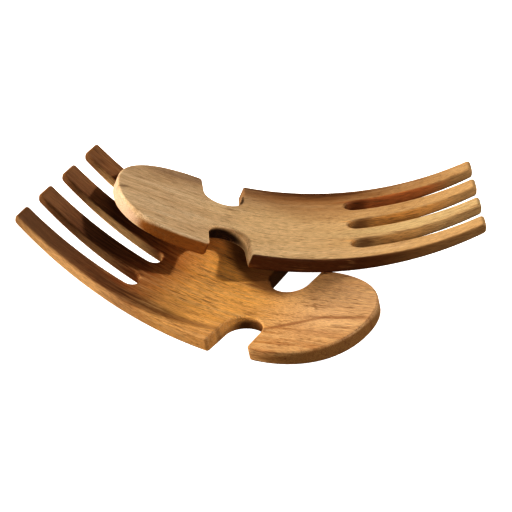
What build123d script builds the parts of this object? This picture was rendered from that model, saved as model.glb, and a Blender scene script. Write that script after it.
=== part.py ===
from build123d import *
import math
import os

# A pair of wooden salad hands, one laid across the other on a table.
# Each hand is cut from one board: a flat palm grip, a waist with a finger
# notch on each side, and a curved body that ends in four tines.
# Millimetres. The table top is Z = 0, and +X is the way the upper hand points.

# Lengths along a hand are counted from the end of its grip, on its top face.
hand_length = 240.0
board_thickness = 10.8
bend_start = 60.0
bend_radius = 243.7

grip_length = 66.0
grip_half_width = 50.5
grip_end_fullness = 41.0
grip_side_fullness = 33.0
grip_side_bulge = 3.6

notch_centre_x = 81.0
notch_radius = 14.5
waist_half_width = 17.8

body_start = 96.5
body_half_width = 53.5
tip_half_width = 50.5

tine_tip_width = 13.8
slot_end_x = 164.5
slot_root_width = 13.0
slot_root_pitch = 29.0

grip_corner_radius = 3.0
body_corner_radius = 2.0
underside_extra_turn = 1.0
tip_top_radius = 2.4
tip_bottom_radius = 3.4
edge_radius = 1.5

# How the two hands lie: where the grip ends, then turns about X, Y and Z.
lower_grip_end = (78.38, -78.79, 29.5)
lower_turns = (0.0, 12.6, 148.5)
upper_grip_end = (-92.42, 41.51, 59.03)
upper_turns = (-10.61, 22.0, 0.0)

# Worked out from the sizes above.
overrun = 20.0
past_tip = hand_length + overrun
tip_slope = math.degrees(math.asin((hand_length - bend_start) / bend_radius))
tip_slot_width = (2 * tip_half_width - 4 * tine_tip_width) / 3
tip_slot_pitch = tip_slot_width + tine_tip_width
slot_root_x = slot_end_x + slot_root_width / 2


def at_x(x, start_x, start_value, tip_value):
    """A size that changes evenly from its start to the tips of the tines."""
    share = (x - start_x) / (hand_length - start_x)
    return start_value + share * (tip_value - start_value)


def make_hand(name, grip_end, turns):
    """One hand, bent in its side profile and then sawn to its plan outline."""
    top = Plane(Location(grip_end, turns, Extrinsic.XYZ))
    side = Plane(origin=top.origin, x_dir=top.x_dir, z_dir=-top.y_dir)
    grip_corner = (grip_length, grip_half_width)
    body_corner = (body_start, body_half_width)
    far_corner = (past_tip, at_x(past_tip, body_start, body_half_width, tip_half_width))

    with BuildPart() as hand:
        # Side profile: both faces bend at the same radius, so the tines thin out
        # towards tips that are rounded more underneath than on top.
        with BuildSketch(side) as profile:
            with BuildLine():
                top_flat = Line((-overrun, 0), (bend_start, 0))
                top_bend = JernArc(top_flat @ 1, top_flat % 1, bend_radius, tip_slope)
                low_flat = Line((-overrun, -board_thickness), (bend_start, -board_thickness))
                low_slope = tip_slope + underside_extra_turn
                low_bend = JernArc(low_flat @ 1, low_flat % 1, bend_radius, low_slope)
                Line(top_bend @ 1, low_bend @ 1)
                Line(top_flat @ 0, low_flat @ 0)
            make_face()
            fillet(profile.vertices().sort_by_distance(top_bend @ 1)[0], tip_top_radius)
            fillet(profile.vertices().sort_by_distance(low_bend @ 1)[0], tip_bottom_radius)
        extrude(amount=body_half_width + overrun, both=True)

        # Plan outline: half of it, and its mirror image.
        with BuildSketch(top) as outline:
            with BuildLine():
                grip_edge = Bezier(
                    (0, 0),
                    (0, grip_end_fullness),
                    (grip_length - grip_side_fullness, grip_half_width + grip_side_bulge),
                    grip_corner,
                )
                notch_centre = (notch_centre_x, waist_half_width + notch_radius)
                notch = CenterArc(notch_centre, notch_radius, 180, 180)
                Line(grip_edge @ 1, notch @ 0)
                Line(notch @ 1, body_corner)
                Line(body_corner, far_corner)
                Line(far_corner, (past_tip, 0))
                Line((past_tip, 0), (0, 0))
            make_face()
            fillet(outline.vertices().sort_by_distance(grip_corner)[0], grip_corner_radius)
            fillet(outline.vertices().sort_by_distance(body_corner)[0], body_corner_radius)
            mirror(about=Plane.XZ)
        extrude(amount=hand_length, both=True, mode=Mode.INTERSECT)

        # Three slots, a little wider at the tips than at their round ends.
        for place in (-1, 0, 1):
            root_y = place * slot_root_pitch
            end_y = place * at_x(past_tip, slot_root_x, slot_root_pitch, tip_slot_pitch)
            end_width = at_x(past_tip, slot_root_x, slot_root_width, tip_slot_width)
            with BuildSketch(top):
                with Locations((slot_root_x, root_y)):
                    Circle(slot_root_width / 2)
                with Locations((past_tip, end_y)):
                    Circle(end_width / 2)
                make_hull()
            extrude(amount=hand_length, both=True, mode=Mode.SUBTRACT)

        # Sanded edges: every rim of the two faces, round the tips as well.
        seams = hand.edges().filter_by(Axis(top.origin, tuple(top.y_dir)))
        walls = hand.edges().filter_by(Axis(top.origin, tuple(top.z_dir)))
        fillet(hand.edges() - seams - walls, edge_radius)

    hand.part.label = name
    return hand.part


os.makedirs("parts", exist_ok=True)

lower_salad_hand = make_hand("lower_salad_hand", lower_grip_end, lower_turns)
export_step(lower_salad_hand, "parts/lower_salad_hand.step")

upper_salad_hand = make_hand("upper_salad_hand", upper_grip_end, upper_turns)
export_step(upper_salad_hand, "parts/upper_salad_hand.step")
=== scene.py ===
import bpy
import math
from mathutils import Euler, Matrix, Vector

# A pair of acacia salad hands, one laid across the other.
# The scene is in metres. The wood is laid out in each hand's own millimetres:
# x runs from the grip's end to the tine tips, y across the hand and z up from its top face.

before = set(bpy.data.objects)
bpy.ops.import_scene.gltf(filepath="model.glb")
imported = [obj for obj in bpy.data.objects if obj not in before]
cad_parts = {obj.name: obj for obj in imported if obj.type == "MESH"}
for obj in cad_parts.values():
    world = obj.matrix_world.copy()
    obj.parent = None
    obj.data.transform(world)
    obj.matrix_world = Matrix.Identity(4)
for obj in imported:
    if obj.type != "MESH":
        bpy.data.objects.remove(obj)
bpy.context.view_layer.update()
print("frame loaded:", ", ".join(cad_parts))


def addNode(tree, kind, inputs=None, **settings):
    # one shader node; an input is a value, or the output of another node
    made = tree.nodes.new(kind)
    for name, value in settings.items():
        setattr(made, name, value)
    for name, value in (inputs or {}).items():
        socket = made.inputs[name]
        if isinstance(value, bpy.types.NodeSocket):
            tree.links.new(value, socket)
        else:
            socket.default_value = value
    return made


def doMath(tree, operation, first, second=0.0, third=0.0):
    return addNode(tree, "ShaderNodeMath", {0: first, 1: second, 2: third}, operation=operation).outputs[0]


def doVector(tree, operation, first, second=(0.0, 0.0, 0.0)):
    return addNode(tree, "ShaderNodeVectorMath", {0: first, 1: second}, operation=operation).outputs[0]


def lengthOf(tree, vector):
    return addNode(tree, "ShaderNodeVectorMath", {0: vector}, operation="LENGTH").outputs["Value"]


def remap(tree, value, span, newSpan=(0.0, 1.0), smooth=True):
    # carries the first span onto the second, and holds still past its ends
    limits = {"From Min": span[0], "From Max": span[1], "To Min": newSpan[0], "To Max": newSpan[1]}
    curve = "SMOOTHSTEP" if smooth else "LINEAR"
    made = addNode(tree, "ShaderNodeMapRange", {"Value": value, **limits}, interpolation_type=curve)
    return made.outputs[0]


def stretched(tree, point, scale, shift=(0.0, 0.0, 0.0)):
    # the point, multiplied along each axis and shifted
    return addNode(tree, "ShaderNodeMapping", {"Vector": point, "Scale": scale, "Location": shift}).outputs[0]


def noiseNode(tree, point, pattern, shift=(0.0, 0.0, 0.0)):
    drawn = stretched(tree, point, pattern["scale"], shift)
    grit = {"Scale": 1.0, "Detail": pattern["detail"], "Roughness": pattern["roughness"]}
    return addNode(tree, "ShaderNodeTexNoise", {"Vector": drawn, **grit})


def noise(tree, point, pattern, shift=(0.0, 0.0, 0.0)):
    return noiseNode(tree, point, pattern, shift).outputs[0]


def ramp(tree, value, stops):
    made = addNode(tree, "ShaderNodeValToRGB", {"Fac": value})
    band = made.color_ramp
    while len(band.elements) < len(stops):
        band.elements.new(0.5)
    for element, (place, colour) in zip(band.elements, stops):
        element.position = place
        element.color = (*colour, 1.0)
    return made.outputs[0]


def blendColour(tree, amount, below, above):
    made = addNode(tree, "ShaderNodeMix", data_type="RGBA", blend_type="MIX")
    for name, value in (("Factor", amount), ("A", below), ("B", above)):
        socket = [s for s in made.inputs if s.name == name and s.enabled][0]
        if isinstance(value, bpy.types.NodeSocket):
            tree.links.new(value, socket)
        else:
            socket.default_value = (*value, 1.0)
    return [s for s in made.outputs if s.enabled][0]


# millimetres, as the hands are bent; follow is how much of the bend the grain takes
bend = {"start": 60.0, "radius": 243.7, "follow": 0.93}

# the wood of both hands
# a scale is in waves to the millimetre, along, across and through the board
# a share is how much of the shade comes from that layer
acacia = {
    "millimetre": 0.001,
    "sway": {"scale": (0.009, 0.02, 0.02), "detail": 1.5, "roughness": 0.5},
    "rings": {"detail": 3.0, "roughness": 0.6, "share": 0.22},
    "bands": {"scale": (0.012, 0.11, 0.11), "detail": 3.0, "roughness": 0.55, "share": 0.20},
    "fibres": {"scale": (0.018, 0.42, 0.42), "detail": 5.0, "roughness": 0.72, "share": 0.46},
    "mottle": {"scale": (0.05, 0.07, 0.07), "detail": 3.0, "roughness": 0.6, "share": 0.12},
    "fine": {"scale": (0.12, 3.2, 3.2), "detail": 2.0, "roughness": 0.6},
    "patchEdges": {"scale": (0.02, 0.09, 0.09), "detail": 3.0, "roughness": 0.6},
    "yearLines": {"scale": (0.009, 0.15, 0.15), "detail": 3.0, "roughness": 0.6},
    "pores": {"scale": (0.16, 2.1, 2.1), "detail": 1.0, "roughness": 0.5},
    "yearLineShift": (5.0, 17.0, 2.0),  # keeps the year lines apart from the other patterns
    "poreShift": (31.0, 7.0, 3.0),
    "middle": 0.5,  # what every noise swings round
    "usualSpan": (0.3, 0.7),  # where most of a noise lies
    "patchRagged": 0.8,  # how far a patch's edge wanders, in parts of its half size
    "patchDepth": (0.0, 1000.0),  # middle and half height: right through the board
    "streakSpan": (0.35, 0.62),
    "streakLeast": 0.45,
    "yearLineWidth": 0.022,
    "yearLineFade": (0.42, 0.60),
    "yearLineLeast": 0.25,
    "crowdSpan": (0.35, 0.65),
    "poreLimits": (0.60, 0.54),  # a noise above this is a pore: few in one place, many in another
    "poreEdge": 0.07,
    "poreRoughness": 0.15,
    "poreHeight": -1.0,  # pores are cut in, and fibres stand up
    "fibreHeight": 0.6,
    "bumpDistance": 0.0003,
    "specular": 0.20,
    "coat": 0.03,
    "coatRoughness": 0.28,
}


def patchMask(tree, point, wander, patch):
    # 1 inside an ellipse, falling to 0 past its edge, which wanders
    middle, high = patch.get("depth", acacia["patchDepth"])
    shape = {"Location": (*patch["at"], middle), "Scale": (*patch["half"], high)}
    shape["Rotation"] = (0.0, 0.0, math.radians(patch.get("turn", 0.0)))
    placed = addNode(tree, "ShaderNodeMapping", {"Vector": point, **shape}, vector_type="TEXTURE").outputs[0]
    ragged = patch.get("ragged", acacia["patchRagged"])
    reach = doMath(tree, "MULTIPLY_ADD", wander, ragged, lengthOf(tree, placed))
    return remap(tree, reach, (1.0 + patch["soft"], 1.0 - patch["soft"]))


def boardPoint(tree, look):
    # the point in the hand's own millimetres
    where = addNode(tree, "ShaderNodeTexCoord").outputs["Object"]
    turns = Euler([math.radians(t) for t in look["turns"]], "XYZ")
    place = {"Location": look["gripEnd"], "Rotation": turns, "Scale": [acacia["millimetre"]] * 3}
    return addNode(tree, "ShaderNodeMapping", {"Vector": where, **place}, vector_type="TEXTURE").outputs[0]


def straightened(tree, board):
    # the point with the hand's bend taken out, so the figure follows the bend
    along, across, deep = addNode(tree, "ShaderNodeSeparateXYZ", {0: board}).outputs
    past = doMath(tree, "MAXIMUM", doMath(tree, "SUBTRACT", along, bend["start"]), 0.0)
    squares = doMath(tree, "SUBTRACT", bend["radius"] ** 2, doMath(tree, "MULTIPLY", past, past))
    rise = doMath(tree, "SUBTRACT", bend["radius"], doMath(tree, "SQRT", squares))
    level = doMath(tree, "MULTIPLY_ADD", rise, -bend["follow"], deep)
    return addNode(tree, "ShaderNodeCombineXYZ", {0: along, 1: across, 2: level}).outputs[0]


def grainPoint(tree, figure, look):
    # the fibres wander slowly to either side, and lean a little
    sway = noiseNode(tree, figure, acacia["sway"], look["seed"]).outputs["Color"]
    sway = doVector(tree, "SUBTRACT", sway, [acacia["middle"]] * 3)
    sway = doVector(tree, "MULTIPLY", sway, (0.0, look["sway"], look["sway"]))
    grain = doVector(tree, "ADD", figure, sway)
    lean = [math.radians(t) for t in look["grainTilt"]]
    return addNode(tree, "ShaderNodeMapping", {"Vector": grain, "Rotation": lean}).outputs[0]


def growthRings(tree, grain, look):
    # rings round a heart well below the board
    heartY, heartZ = look["heart"]
    fromHeart = lengthOf(tree, stretched(tree, grain, (0.0, 1.0, 1.0), (0.0, -heartY, -heartZ)))
    ringCount = doMath(tree, "DIVIDE", fromHeart, look["ringWidth"])
    grit = {"Scale": 1.0, "Detail": acacia["rings"]["detail"], "Roughness": acacia["rings"]["roughness"]}
    return addNode(tree, "ShaderNodeTexNoise", {"W": ringCount, **grit}, noise_dimensions="1D").outputs[0]


def yearLines(tree, grain, mottle):
    # thin lines where one year's growth meets the next, fainter in some places
    pattern = noise(tree, grain, acacia["yearLines"], acacia["yearLineShift"])
    contour = doMath(tree, "ABSOLUTE", doMath(tree, "SUBTRACT", pattern, acacia["middle"]))
    line = remap(tree, contour, (0.0, acacia["yearLineWidth"]), (1.0, 0.0))
    fade = remap(tree, mottle, acacia["yearLineFade"], (acacia["yearLineLeast"], 1.0))
    return doMath(tree, "MULTIPLY", line, fade)


def poreDashes(tree, grain, mottle):
    # short dashes along the fibres, thicker in some places than in others
    pattern = noise(tree, grain, acacia["pores"], acacia["poreShift"])
    limit = remap(tree, mottle, acacia["crowdSpan"], acacia["poreLimits"], smooth=False)
    return remap(tree, doMath(tree, "SUBTRACT", pattern, limit), (0.0, acacia["poreEdge"]))


def acaciaWood(name, look):
    # oiled acacia cut from one block: the grain runs along the hand, through its bend
    wood = bpy.data.materials.new(name)
    wood.use_nodes = True
    tree = wood.node_tree
    shader = tree.nodes["Principled BSDF"]
    board = boardPoint(tree, look)
    grain = grainPoint(tree, straightened(tree, board), look)

    rings = growthRings(tree, grain, look)
    bands = noise(tree, grain, acacia["bands"], look["seed"])
    fibres = noise(tree, grain, acacia["fibres"], look["seed"])
    fine = noise(tree, grain, acacia["fine"], look["seed"])
    mottle = noise(tree, grain, acacia["mottle"], look["seed"])
    shade = doMath(tree, "MULTIPLY", rings, acacia["rings"]["share"])
    for pattern, layer in ((bands, "bands"), (fibres, "fibres"), (mottle, "mottle")):
        shade = doMath(tree, "MULTIPLY_ADD", pattern, acacia[layer]["share"], shade)
    reach = (acacia["middle"] - look["contrast"], acacia["middle"] + look["contrast"])
    colour = ramp(tree, remap(tree, shade, reach, smooth=False), look["ramp"])

    # darker heartwood, paler sapwood and what else is local to one hand; some patches are painted shade,
    # painted shadow or painted light
    wander = doMath(tree, "SUBTRACT", noise(tree, grain, acacia["patchEdges"]), acacia["middle"])
    streaky = remap(tree, fibres, acacia["streakSpan"], (1.0, acacia["streakLeast"]))
    for patch in look["patches"]:
        mask = doMath(tree, "MULTIPLY", patchMask(tree, board, wander, patch), patch["strength"])
        if patch.get("streaky"):
            mask = doMath(tree, "MULTIPLY", mask, streaky)
        colour = blendColour(tree, mask, colour, patch["colour"])

    lines = doMath(tree, "MULTIPLY", yearLines(tree, grain, mottle), look["lineDepth"])
    colour = blendColour(tree, lines, colour, look["lineColour"])
    pores = poreDashes(tree, grain, mottle)
    dark = doMath(tree, "MULTIPLY", pores, look["poreDepth"])
    colour = blendColour(tree, dark, colour, look["poreColour"])
    toneSpan = (1.0 - look["fineTone"], 1.0 + look["fineTone"])
    tone = remap(tree, fine, acacia["usualSpan"], toneSpan, smooth=False)
    colour = addNode(tree, "ShaderNodeHueSaturation", {"Color": colour, "Value": tone}).outputs[0]
    tree.links.new(colour, shader.inputs["Base Color"])

    rough = remap(tree, fibres, acacia["usualSpan"], look["roughness"], smooth=False)
    rough = doMath(tree, "MULTIPLY_ADD", pores, acacia["poreRoughness"], rough)
    tree.links.new(rough, shader.inputs["Roughness"])
    height = doMath(tree, "MULTIPLY", fibres, acacia["fibreHeight"])
    height = doMath(tree, "MULTIPLY_ADD", pores, acacia["poreHeight"], height)
    relief = {"Strength": look["bump"], "Distance": acacia["bumpDistance"], "Height": height}
    tree.links.new(addNode(tree, "ShaderNodeBump", relief).outputs[0], shader.inputs["Normal"])
    shader.inputs["Specular IOR Level"].default_value = acacia["specular"]
    shader.inputs["Coat Weight"].default_value = acacia["coat"]
    shader.inputs["Coat Roughness"].default_value = acacia["coatRoughness"]
    return wood


# A patch lies at x and y, with two half sizes, a turn in degrees, a soft edge and a strength.
# With a depth it keeps to a layer of the board, given as its middle and half height.
# The front of a hand is its side with the lower y in the scene.
upperHand = {
    "node": "upper_salad_hand",
    "gripEnd": (-0.09242, 0.04151, 0.05903),
    "turns": (-10.61, 22.0, 0.0),
    "seed": (3.1, 8.7, 1.9),
    "sway": 7.0,
    "grainTilt": (0.0, -2.0, 2.0),
    "heart": (28.0, -95.0),
    "ringWidth": 9.0,
    "contrast": 0.15,
    "ramp": [
        (0.0, (0.330, 0.200, 0.095)),
        (0.3, (0.570, 0.380, 0.210)),
        (0.6, (0.670, 0.480, 0.285)),
        (1.0, (0.760, 0.590, 0.380)),
    ],
    "patches": [
        # golden body
        {"at": (128.0, -6.0), "half": (56.0, 56.0), "soft": 0.6,
         "strength": 0.7, "colour": (0.730, 0.490, 0.245)},
        # brown tines
        {"at": (224.0, 0.0), "half": (74.0, 90.0), "soft": 0.6,
         "strength": 0.85, "colour": (0.450, 0.265, 0.108)},
        # the paler tine, second from the front
        {"at": (206.0, -15.0), "half": (50.0, 7.5), "turn": -1.0, "soft": 0.7,
         "strength": 0.7, "colour": (0.530, 0.390, 0.200)},
        # heartwood along the rear edge
        {"at": (135.0, 58.0), "half": (78.0, 34.0), "turn": -3.0, "soft": 0.8,
         "strength": 0.85, "colour": (0.200, 0.070, 0.012)},
        # its darkest part
        {"at": (142.0, 54.0), "half": (56.0, 11.0), "turn": -1.0, "soft": 0.6,
         "strength": 1.0, "colour": (0.060, 0.018, 0.005), "streaky": True},
        # grey streak along the rear of the grip
        {"at": (54.0, 44.0), "half": (24.0, 5.0), "turn": 5.0, "soft": 0.7,
         "strength": 0.65, "colour": (0.200, 0.130, 0.095), "streaky": True},
        # darker rear half of the grip
        {"at": (36.0, 38.0), "half": (46.0, 18.0), "turn": 10.0, "soft": 0.8,
         "strength": 0.45, "colour": (0.360, 0.210, 0.105), "streaky": True},
        # front side of the body, painted near black: painted shade on the side
        {"at": (135.0, -61.0), "half": (160.0, 9.7), "turn": 1.0, "soft": 0.08,
         "strength": 1.0, "colour": (0.085, 0.028, 0.009), "ragged": 0.05},
        # front side of the front tine, painted dark brown: painted shade on the side
        {"at": (228.0, -59.0), "half": (105.0, 8.6), "turn": 1.0, "soft": 0.1,
         "strength": 0.9, "colour": (0.200, 0.095, 0.030), "ragged": 0.05},
        # front side of the grip, painted dark brown: painted shade on the side
        {"at": (52.0, -50.0), "half": (44.0, 24.0), "soft": 0.2, "depth": (-7.0, 6.0),
         "strength": 0.95, "colour": (0.260, 0.085, 0.010), "ragged": 0.2},
        # end of the grip
        {"at": (4.0, 4.0), "half": (21.0, 50.0), "soft": 0.2, "depth": (-7.0, 6.0),
         "strength": 0.8, "colour": (0.560, 0.370, 0.250), "ragged": 0.2},
        # wall of the front notch, painted near black: painted shade in the notch
        {"at": (79.0, -34.0), "half": (17.0, 24.0), "soft": 0.2, "depth": (-6.2, 6.0),
         "strength": 1.0, "colour": (0.022, 0.009, 0.005), "ragged": 0.1},
        # wall of the rear slot: painted light on the wall, dimmer than on the other slots
        {"at": (206.0, 34.4), "half": (42.0, 2.5), "turn": -1.0, "soft": 0.25,
         "strength": 0.9, "colour": (0.500, 0.175, 0.055), "ragged": 0.1},
        # walls of the other slots, painted bright orange: painted light on the walls
        *({"at": (206.0, slotY), "half": (42.0, 2.5), "soft": 0.25,
           "strength": 0.9, "colour": (0.800, 0.400, 0.120), "ragged": 0.1}
          for slotY in (4.9, -24.6)),
        # slot roots, painted near black: painted shade where the slots end
        *({"at": (174.0, slotY), "half": (9.5, 7.2), "soft": 0.3,
           "strength": 0.85, "colour": (0.110, 0.035, 0.010), "ragged": 0.1}
          for slotY in (29.5, 0.0, -29.5)),
        # small mark at the end of the grip
        {"at": (4.0, -4.0), "half": (4.5, 1.6), "turn": 25.0, "soft": 0.6, "depth": (0.0, 6.0),
         "strength": 0.6, "colour": (0.150, 0.080, 0.040)},
    ],
    "lineColour": (0.26, 0.13, 0.05),
    "lineDepth": 0.58,
    "poreColour": (0.13, 0.065, 0.025),
    "poreDepth": 0.36,
    "fineTone": 0.27,
    "roughness": (0.42, 0.56),
    "bump": 0.25,
}
lowerHand = {
    "node": "lower_salad_hand",
    "gripEnd": (0.07838, -0.07879, 0.02950),
    "turns": (0.0, 12.6, 148.5),
    "seed": (11.4, 2.2, 6.3),
    "sway": 9.0,
    "grainTilt": (0.0, 3.0, -3.0),
    "heart": (-40.0, -85.0),
    "ringWidth": 10.0,
    "contrast": 0.125,
    "ramp": [
        (0.0, (0.250, 0.105, 0.030)),
        (0.3, (0.420, 0.215, 0.085)),
        (0.6, (0.510, 0.290, 0.125)),
        (1.0, (0.600, 0.370, 0.175)),
    ],
    "patches": [
        # golden body: orange wood, painted lighter as well, as painted light under the upper hand
        {"at": (122.0, -8.0), "half": (50.0, 52.0), "soft": 0.8,
         "strength": 0.95, "colour": (0.900, 0.470, 0.125), "streaky": True},
        # reddish wood round the slot roots
        {"at": (182.0, 4.0), "half": (32.0, 70.0), "soft": 0.6,
         "strength": 0.9, "colour": (0.250, 0.050, 0.010), "streaky": True},
        # dark streak beside the front slot
        {"at": (160.0, 46.0), "half": (34.0, 5.0), "turn": 6.0, "soft": 0.7,
         "strength": 0.85, "colour": (0.070, 0.028, 0.010), "streaky": True},
        # its thin end
        {"at": (118.0, 43.0), "half": (34.0, 2.5), "turn": 9.0, "soft": 0.7,
         "strength": 0.55, "colour": (0.150, 0.060, 0.020)},
        # brown tines
        {"at": (236.0, 0.0), "half": (54.0, 90.0), "soft": 0.7,
         "strength": 0.9, "colour": (0.200, 0.092, 0.038)},
        # near black roots of the middle tines: painted shadow of the upper hand's grip
        {"at": (193.0, 0.0), "half": (27.0, 25.0), "soft": 0.5,
         "strength": 0.8, "colour": (0.050, 0.016, 0.008), "streaky": True},
        # pale rear half of the grip
        {"at": (28.0, -18.0), "half": (42.0, 36.0), "soft": 0.7,
         "strength": 0.55, "colour": (0.680, 0.450, 0.250), "streaky": True},
        # top of the front tine, painted darker: painted shade on the top
        {"at": (215.0, 43.0), "half": (42.0, 7.5), "soft": 0.4,
         "strength": 0.5, "colour": (0.090, 0.040, 0.018)},
        # side of the grip, painted darker: painted shade on the side
        {"at": (20.0, 20.0), "half": (54.0, 44.0), "soft": 0.15, "depth": (-7.0, 6.0),
         "strength": 0.85, "colour": (0.270, 0.135, 0.045), "ragged": 0.2},
        # painted shadow of the upper hand, near black, beside the rear notch
        {"at": (108.0, -41.0), "half": (42.0, 20.0), "turn": -37.0, "soft": 0.22,
         "strength": 0.82, "colour": (0.070, 0.024, 0.009), "ragged": 0.3},
        # wall of the front notch, painted dark brown: painted shade in the notch
        {"at": (79.0, 34.0), "half": (17.0, 24.0), "soft": 0.2, "depth": (-6.2, 6.0),
         "strength": 0.8, "colour": (0.110, 0.040, 0.013), "ragged": 0.1},
        # front side of the body and the front tine, painted lighter: painted light on the side
        {"at": (200.0, 57.5), "half": (74.0, 7.0), "turn": -1.2, "soft": 0.15,
         "strength": 0.85, "colour": (0.760, 0.440, 0.190), "ragged": 0.1},
        # slot walls, painted lighter: painted light on the sides of the tines
        *({"at": (208.0, slotY), "half": (40.0, 2.6), "soft": 0.25,
           "strength": 0.85, "colour": (0.930, 0.580, 0.260), "ragged": 0.1}
          for slotY in (24.8, -4.7, -34.2)),
        # thin dark line across the grip, in two parts
        {"at": (20.0, 0.0), "half": (25.0, 1.8), "turn": 14.0, "soft": 0.7,
         "strength": 0.65, "colour": (0.210, 0.080, 0.030), "ragged": 0.6},
        {"at": (51.0, 17.0), "half": (21.0, 1.8), "turn": 36.0, "soft": 0.7,
         "strength": 0.65, "colour": (0.210, 0.080, 0.030), "ragged": 0.6},
    ],
    "lineColour": (0.17, 0.065, 0.022),
    "lineDepth": 0.68,
    "poreColour": (0.11, 0.045, 0.014),
    "poreDepth": 0.36,
    "fineTone": 0.32,
    "roughness": (0.42, 0.56),
    "bump": 0.25,
}

for hand in (lowerHand, upperHand):
    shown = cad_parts[hand["node"]]
    shown.data.materials.clear()
    shown.data.materials.append(acaciaWood(hand["node"].replace("salad_hand", "acacia"), hand))
    print("wood made:", hand["node"])


studio = {
    "floorSize": 30.0,
    "floorColour": (0.86, 0.86, 0.85),
    "floorRoughness": 0.9,
    "floorSpecular": 0.1,
    "floorGlow": 0.80,
    "white": (1.0, 1.0, 1.0, 1.0),
    "fill": 0.04,
    "middle": (0.0, 0.0, 0.03),
    "distance": 3.0,
    "lightColour": (1.0, 0.98, 0.96),
    # azimuth counts from +X towards +Y; degrees, metres and watts
    # a light with gloss shows in the sheen of the wood
    "lights": [
        {"name": "leftLight", "azimuth": 160.0, "elevation": 12.0,
         "size": 0.6, "watts": 125.0, "gloss": False},
        {"name": "lowLeftLight", "azimuth": 214.0, "elevation": 4.0,
         "size": 0.8, "watts": 46.0, "gloss": False},
        {"name": "highLeftLight", "azimuth": 148.0, "elevation": 34.0,
         "size": 0.8, "watts": 6.0, "gloss": True},
        {"name": "backLight", "azimuth": 78.0, "elevation": 22.0,
         "size": 0.8, "watts": 20.0, "gloss": False},
        {"name": "frontLight", "azimuth": 285.0, "elevation": 34.0,
         "size": 1.0, "watts": 12.0, "gloss": False},
        {"name": "rightLight", "azimuth": 352.0, "elevation": 41.0,
         "size": 0.25, "watts": 49.0, "gloss": True},
    ],
}
camera = {
    "place": (0.0108, -2.2632, 1.7285),
    "elevation": 36.96,
    "turn": 0.18,
    "lens": 288.0,
    "sensorWidth": 36.0,
    "farEnd": 100.0,
}


def makeFloor():
    # the floor shows behind the hands, and throws no light back onto them
    bpy.ops.mesh.primitive_plane_add(size=studio["floorSize"])
    floor = bpy.context.object
    floor.name = "floor"
    paint = bpy.data.materials.new("floorPaint")
    paint.use_nodes = True
    cover = paint.node_tree.nodes["Principled BSDF"]
    cover.inputs["Base Color"].default_value = (*studio["floorColour"], 1.0)
    cover.inputs["Roughness"].default_value = studio["floorRoughness"]
    cover.inputs["Specular IOR Level"].default_value = studio["floorSpecular"]
    cover.inputs["Emission Color"].default_value = studio["white"]
    cover.inputs["Emission Strength"].default_value = studio["floorGlow"]
    floor.data.materials.append(paint)
    floor.visible_diffuse = False
    floor.visible_glossy = False


def makeAir():
    air = bpy.data.worlds.new("studioAir")
    air.use_nodes = True
    background = air.node_tree.nodes["Background"]
    background.inputs["Color"].default_value = studio["white"]
    background.inputs["Strength"].default_value = studio["fill"]
    bpy.context.scene.world = air


def makeLight(light):
    lamp = bpy.data.lights.new(light["name"], "AREA")
    lamp.shape = "DISK"
    lamp.size = light["size"]
    lamp.energy = light["watts"]
    lamp.color = studio["lightColour"]
    placed = bpy.data.objects.new(light["name"], lamp)
    heading = math.radians(light["azimuth"])
    up = math.radians(light["elevation"])
    outward = Vector((math.cos(heading) * math.cos(up), math.sin(heading) * math.cos(up), math.sin(up)))
    placed.location = Vector(studio["middle"]) + outward * studio["distance"]
    placed.rotation_euler = outward.to_track_quat("Z", "Y").to_euler()
    placed.visible_camera = False
    placed.visible_glossy = light["gloss"]
    bpy.context.collection.objects.link(placed)


def makeCamera():
    eye = bpy.data.cameras.new("camera")
    eye.lens = camera["lens"]
    eye.sensor_width = camera["sensorWidth"]
    eye.clip_end = camera["farEnd"]
    viewer = bpy.data.objects.new("camera", eye)
    viewer.location = camera["place"]
    fromStraightDown = math.radians(90.0 - camera["elevation"])
    viewer.rotation_euler = (fromStraightDown, 0.0, math.radians(camera["turn"]))
    bpy.context.collection.objects.link(viewer)
    bpy.context.scene.camera = viewer


makeFloor()
makeAir()
for light in studio["lights"]:
    makeLight(light)
makeCamera()
bpy.context.scene.view_settings.view_transform = "Standard"
bpy.context.scene.view_settings.look = "High Contrast"
print("studio ready")
